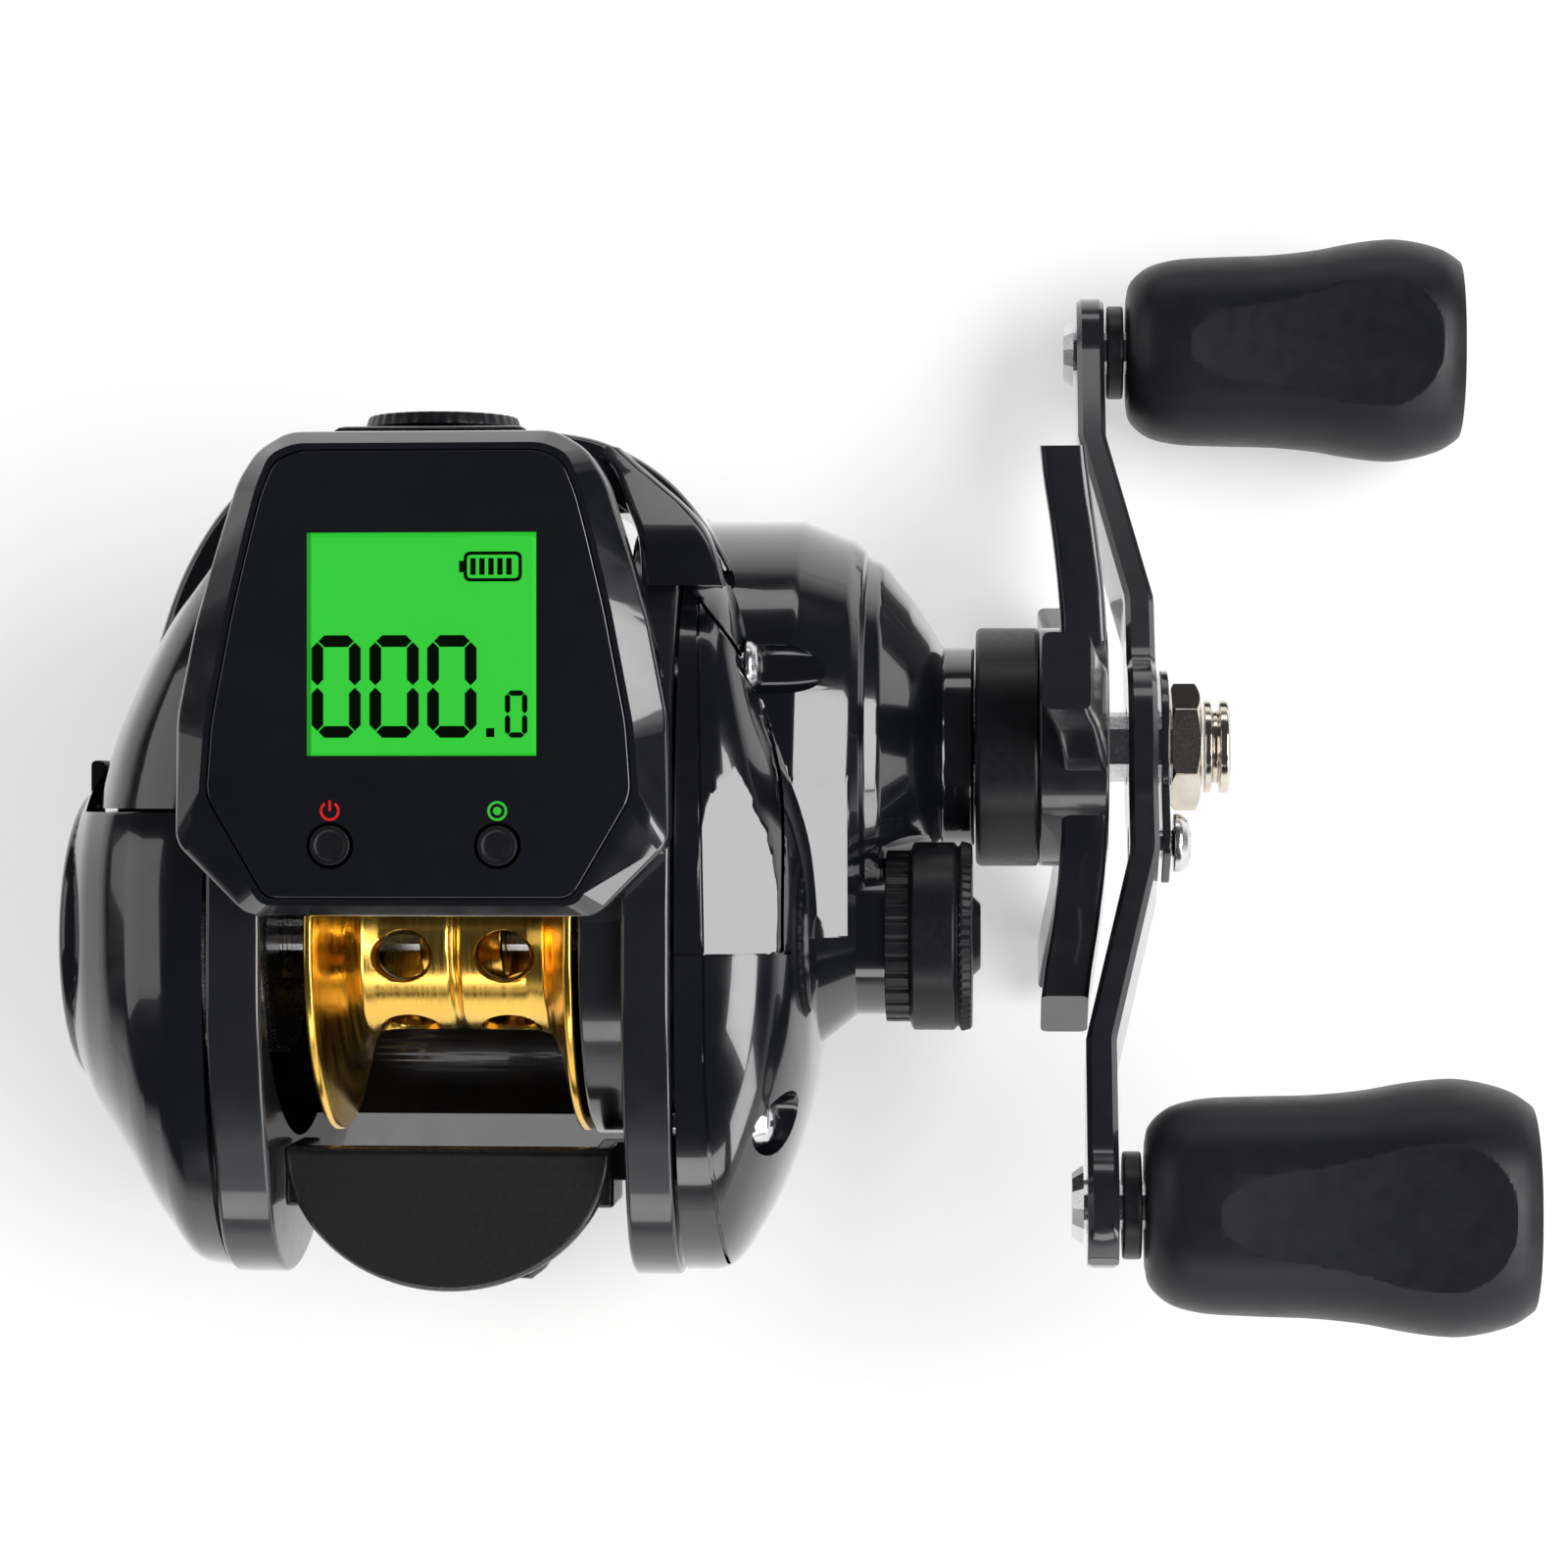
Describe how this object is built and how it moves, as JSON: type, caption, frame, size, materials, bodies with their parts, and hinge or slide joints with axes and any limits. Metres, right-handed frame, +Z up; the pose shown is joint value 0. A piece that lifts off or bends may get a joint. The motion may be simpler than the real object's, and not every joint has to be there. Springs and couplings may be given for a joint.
{
  "type": "digital baitcasting reel",
  "caption": "Low-profile baitcasting fishing reel with a geared handle, star drag, gold spool, thumb bar clutch and a lit digital line counter on top.",
  "frame": {"origin": "middle of the flat underside of the reel foot", "axes": "+X along the spool axis towards the handle, +Y towards the rod tip, +Z up away from the rod"},
  "size_m": [0.1216, 0.1043, 0.0628],
  "materials": {
    "gloss_black": "gloss lacquer",
    "satin_black": "satin moulded",
    "black_metal": "black anodised",
    "knob_rubber": "satin rubber",
    "gold_anodised": "gold anodised, turned",
    "steel": "turned",
    "nickel": "nickel plated",
    "brass": "machined",
    "carbon_fibre": "woven carbon under lacquer",
    "acetal": "moulded",
    "circuit_board": "solder mask",
    "display": "lit display"
  },
  "bodies": {
    "reel_body": {"frame": "black_metal", "reel_foot": "gloss_black", "foot_screw_front": "steel", "foot_screw_rear": "steel", "handle_side_cover": "gloss_black", "cover_screw_upper": "steel", "cover_screw_rear": "steel", "cover_screw_lower": "steel", "spool_bearing_right": "steel", "front_hood": "gloss_black", "display_housing": "gloss_black", "display_face": "gloss_black", "lcd_panel": "display", "circuit_board": "circuit_board", "coin_cell": "steel", "anti_reverse_bearing": "steel", "guide_bar": "steel"},
    "palm_cover": {"palm_side_cover": "gloss_black", "brake_magnet_ring": "steel", "spool_bearing_left": "steel"},
    "brake_dial": {"brake_dial": "gloss_black"},
    "lock_lever": {"cover_lock_lever": "satin_black"},
    "tension_knob": {"tension_knob": "satin_black"},
    "power_button": {"power_button": "satin_black"},
    "set_button": {"set_button": "satin_black"},
    "battery_cap": {"battery_cap": "gloss_black"},
    "spool": {"spool": "gold_anodised", "spool_shaft": "steel", "brake_rotor": "steel"},
    "thumb_bar": {"thumb_bar": "carbon_fibre", "clutch_cam": "steel"},
    "clutch_yoke": {"clutch_yoke": "steel"},
    "pinion": {"pinion_gear": "brass"},
    "handle": {"drive_shaft": "steel", "levelwind_drive_gear": "acetal", "ratchet_wheel": "steel", "main_gear": "brass", "drag_washer": "carbon_fibre", "drag_plate": "steel", "clutch_sleeve": "steel", "drag_spring_washer": "steel", "handle_arm": "black_metal", "nut_retainer": "black_metal", "retainer_screw": "steel", "handle_nut": "nickel", "axle_end_cap": "nickel", "knob_shaft_front": "steel", "knob_collar_front": "satin_black", "knob_shaft_rear": "steel", "knob_collar_rear": "satin_black"},
    "star_drag": {"star_drag": "black_metal", "drag_collar": "satin_black"},
    "front_knob": {"handle_knob_front": "knob_rubber"},
    "rear_knob": {"handle_knob_rear": "knob_rubber"},
    "worm": {"worm_shaft": "steel", "worm_gear": "acetal"},
    "line_guide": {"line_guide": "satin_black", "line_guide_pawl": "brass"}
  },
  "joints": [
    {"name": "handle_spin", "type": "hinge", "parent": "reel_body", "child": "handle", "pos_m": [0, 0.01785, 0.02021], "axis": [1, 0, 0], "continuous": true},
    {"name": "spool_spin", "type": "hinge", "parent": "reel_body", "child": "spool", "pos_m": [0, 0, 0.025], "axis": [1, 0, 0], "continuous": true},
    {"name": "worm_spin", "type": "hinge", "parent": "reel_body", "child": "worm", "pos_m": [0, 0.03041, 0.02357], "axis": [1, 0, 0], "continuous": true},
    {"name": "thumb_bar_slide", "type": "slide", "parent": "reel_body", "child": "thumb_bar", "axis": [0, 0.2588, -0.9659], "range_m": [0, 0.004]},
    {"name": "clutch_yoke_slide", "type": "slide", "parent": "reel_body", "child": "clutch_yoke", "axis": [1, 0, 0], "range_m": [0, 0.0012]},
    {"name": "pinion_spin", "type": "hinge", "parent": "clutch_yoke", "child": "pinion", "pos_m": [0, 0, 0.025], "axis": [1, 0, 0], "continuous": true},
    {"name": "line_guide_slide", "type": "slide", "parent": "reel_body", "child": "line_guide", "axis": [1, 0, 0], "range_m": [-0.009, 0.009]},
    {"name": "star_drag_turn", "type": "hinge", "parent": "handle", "child": "star_drag", "pos_m": [0.05, 0.01785, 0.02021], "axis": [1, 0, 0], "range_deg": [-180, 180]},
    {"name": "front_knob_spin", "type": "hinge", "parent": "handle", "child": "front_knob", "pos_m": [0.057, 0.05969, 0.00661], "axis": [1, 0, 0], "continuous": true},
    {"name": "rear_knob_spin", "type": "hinge", "parent": "handle", "child": "rear_knob", "pos_m": [0.057, -0.024, 0.0338], "axis": [1, 0, 0], "continuous": true},
    {"name": "tension_knob_turn", "type": "hinge", "parent": "reel_body", "child": "tension_knob", "pos_m": [0.04, 0, 0.025], "axis": [1, 0, 0], "range_deg": [-180, 180]},
    {"name": "palm_cover_slide", "type": "slide", "parent": "reel_body", "child": "palm_cover", "axis": [-1, 0, 0], "range_m": [0, 0.025]},
    {"name": "brake_dial_turn", "type": "hinge", "parent": "palm_cover", "child": "brake_dial", "pos_m": [-0.033, 0, 0.025], "axis": [1, 0, 0], "range_deg": [-135, 135]},
    {"name": "lock_lever_turn", "type": "hinge", "parent": "palm_cover", "child": "lock_lever", "pos_m": [-0.031, 0.01333, 0.02547], "axis": [1, 0, 0], "range_deg": [0, 80]},
    {"name": "power_button_press", "type": "slide", "parent": "reel_body", "child": "power_button", "axis": [0, 0.2588, -0.9659], "range_m": [0, 0.0006], "stiffness_N_per_m": 300},
    {"name": "set_button_press", "type": "slide", "parent": "reel_body", "child": "set_button", "axis": [0, 0.2588, -0.9659], "range_m": [0, 0.0006], "stiffness_N_per_m": 300},
    {"name": "battery_cap_turn", "type": "hinge", "parent": "reel_body", "child": "battery_cap", "pos_m": [0, 0.03634, 0.04778], "axis": [0, 0.9659, 0.2588], "range_deg": [-90, 0]}
  ],
  "couplings": [
    {"joint": "spool_spin", "follows": "handle_spin", "ratio": -6.3},
    {"joint": "pinion_spin", "follows": "handle_spin", "ratio": -6.3},
    {"joint": "worm_spin", "follows": "handle_spin", "ratio": -2.25},
    {"joint": "clutch_yoke_slide", "follows": "thumb_bar_slide", "ratio": 0.3}
  ]
}
